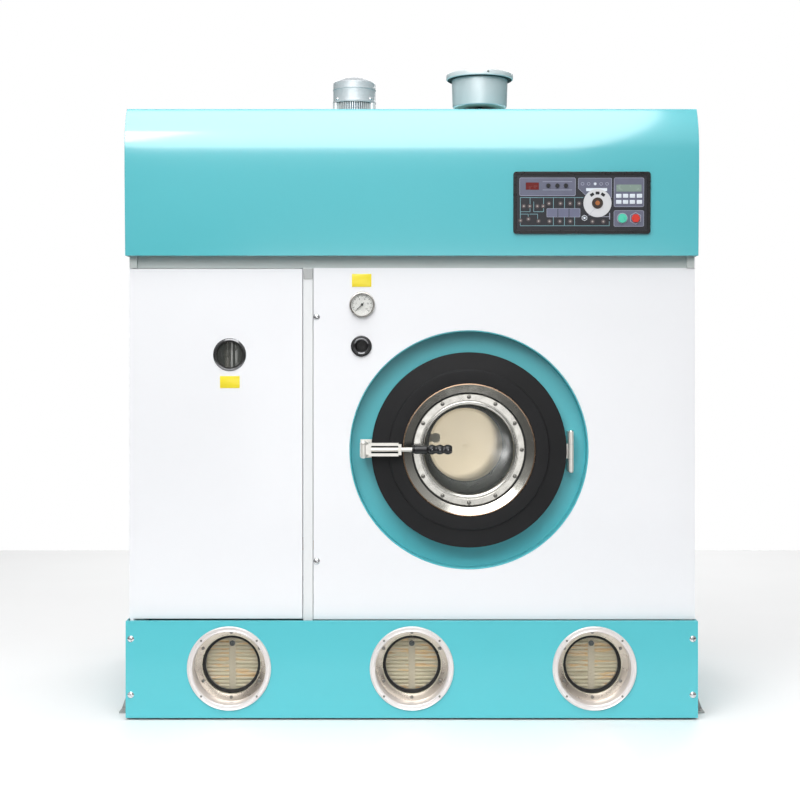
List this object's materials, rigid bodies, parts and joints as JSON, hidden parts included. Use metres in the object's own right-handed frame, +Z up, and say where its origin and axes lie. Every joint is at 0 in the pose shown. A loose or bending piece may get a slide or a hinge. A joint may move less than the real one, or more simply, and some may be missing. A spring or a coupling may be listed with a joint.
{
  "type": "dry cleaning machine",
  "caption": "Front-loading dry cleaning machine: cabinet with curved hood, round glazed loading door with clamp lever, solvent base with sight ports, drum drive and air circuit.",
  "frame": {"origin": "on the floor, centred across the cabinet and between the front panels and the back panel", "axes": "+X to the right seen from the front, +Y to the back, +Z up"},
  "size_m": [1.672, 1.15, 1.924],
  "materials": {
    "teal_paint": "semi-gloss powder coat",
    "white_paint": "semi-gloss powder coat",
    "grey_paint": "satin paint",
    "frame_paint": "satin paint",
    "black_paint": "satin paint",
    "silver_paint": "metallic paint",
    "motor_paint": "hammered paint",
    "black_enamel": "satin enamel",
    "beige_enamel": "matt enamel",
    "polished_steel": "polished stainless steel",
    "bright_steel": "bright zinc plate",
    "bolt_steel": "machined",
    "chrome_screw": "chrome plate",
    "zinc_steel": "zinc plate",
    "stainless": "mill finish stainless steel",
    "galvanised": "galvanised sheet",
    "spun_aluminium": "spun aluminium",
    "cast_aluminium": "die-cast aluminium",
    "gauge_steel": "brushed stainless steel",
    "cast_iron": "cast and painted",
    "brass_fittings": "machined brass",
    "copper_pipe": "drawn copper tube",
    "black_rubber": "moulded rubber",
    "black_plastic": "moulded plastic",
    "console_foil": "printed foil",
    "green_plastic": "moulded plastic",
    "red_plastic": "moulded plastic",
    "sight_glass": "clear tempered glass"
  },
  "bodies": {
    "cabinet": {"frame_posts": "frame_paint", "frame_rails": "frame_paint", "foot_brackets": "zinc_steel", "solvent_tank": "stainless", "base_cover": "teal_paint", "tank_port_flanges": "spun_aluminium", "tank_port_gaskets": "black_rubber", "tank_port_glasses": "sight_glass", "tank_port_bolts": "bolt_steel", "top_rail": "grey_paint", "main_panel": "white_paint", "side_panels": "white_paint", "back_panel": "white_paint", "hood": "teal_paint", "cover_screws": "chrome_screw", "door_recess": "teal_paint", "tub": "stainless", "door_gasket": "black_rubber", "door_hinge_bracket": "bright_steel", "door_hinge_pin": "bright_steel", "latch_keeper": "bright_steel", "bearing_housing": "cast_iron", "drum_bearings": "bolt_steel", "drive_motor": "motor_paint", "drive_belt": "black_rubber", "button_trap": "stainless", "solvent_pump": "motor_paint", "filter_vessel": "stainless", "still": "stainless", "water_separator": "stainless", "air_duct": "galvanised", "fan_motor": "cast_aluminium", "fan_cowl": "silver_paint", "compressor": "black_paint", "canister": "silver_paint", "gauge_case": "gauge_steel", "sample_socket": "black_plastic", "console_frame": "black_plastic", "console_face": "console_foil", "service_ports": "brass_fittings", "pipework": "copper_pipe"},
    "loading_door": {"door_disc": "black_enamel", "door_collar": "polished_steel", "door_ring": "polished_steel", "door_glass": "sight_glass", "door_bolts": "bolt_steel", "door_brackets": "bright_steel"},
    "clamp_lever": {"latch_arm": "polished_steel", "latch_grip": "black_plastic"},
    "side_door": {"service_door": "white_paint", "sight_ring": "black_rubber"},
    "drum_unit": {"drum": "stainless", "drum_shaft": "bright_steel", "drum_pulley": "cast_iron", "hub_cover": "beige_enamel"},
    "motor_drive": {"motor_pulley": "cast_iron"},
    "impeller": {"fan_impeller": "galvanised"},
    "needle": {"gauge_needle": "black_paint"},
    "start_key": {"start_button": "green_plastic"},
    "stop_key": {"stop_button": "red_plastic"}
  },
  "joints": [
    {"name": "door_swing", "type": "hinge", "parent": "cabinet", "child": "loading_door", "pos_m": [0.449, -0.521, 0.751], "axis": [0, 0, 1], "range_deg": [0, 120]},
    {"name": "lever_swing", "type": "hinge", "parent": "loading_door", "child": "clamp_lever", "pos_m": [-0.135, -0.561, 0.759], "axis": [0, 0, -1], "range_deg": [0, 110]},
    {"name": "service_swing", "type": "hinge", "parent": "cabinet", "child": "side_door", "pos_m": [-0.788, -0.521, 0.77], "axis": [0, 0, -1], "range_deg": [0, 110]},
    {"name": "drum_spin", "type": "hinge", "parent": "cabinet", "child": "drum_unit", "pos_m": [0.161, 0, 0.756], "axis": [0, 1, 0], "continuous": true},
    {"name": "motor_spin", "type": "hinge", "parent": "cabinet", "child": "motor_drive", "pos_m": [-0.14, 0.2, 0.382], "axis": [0, 1, 0], "continuous": true},
    {"name": "fan_spin", "type": "hinge", "parent": "cabinet", "child": "impeller", "pos_m": [-0.186, 0.115, 1.6], "axis": [0, 0, 1], "continuous": true},
    {"name": "needle_swing", "type": "hinge", "parent": "cabinet", "child": "needle", "pos_m": [-0.14, -0.53, 1.165], "axis": [0, 1, 0], "range_deg": [0, 270], "stiffness_Nm_per_rad": 0.0005},
    {"name": "start_press", "type": "slide", "parent": "cabinet", "child": "start_key", "axis": [0, 0.9991, 0.0418], "range_m": [0, 0.0025], "stiffness_N_per_m": 400},
    {"name": "stop_press", "type": "slide", "parent": "cabinet", "child": "stop_key", "axis": [0, 0.9991, 0.0418], "range_m": [0, 0.0025], "stiffness_N_per_m": 400}
  ],
  "couplings": [
    {"joint": "motor_spin", "follows": "drum_spin", "ratio": 4}
  ]
}
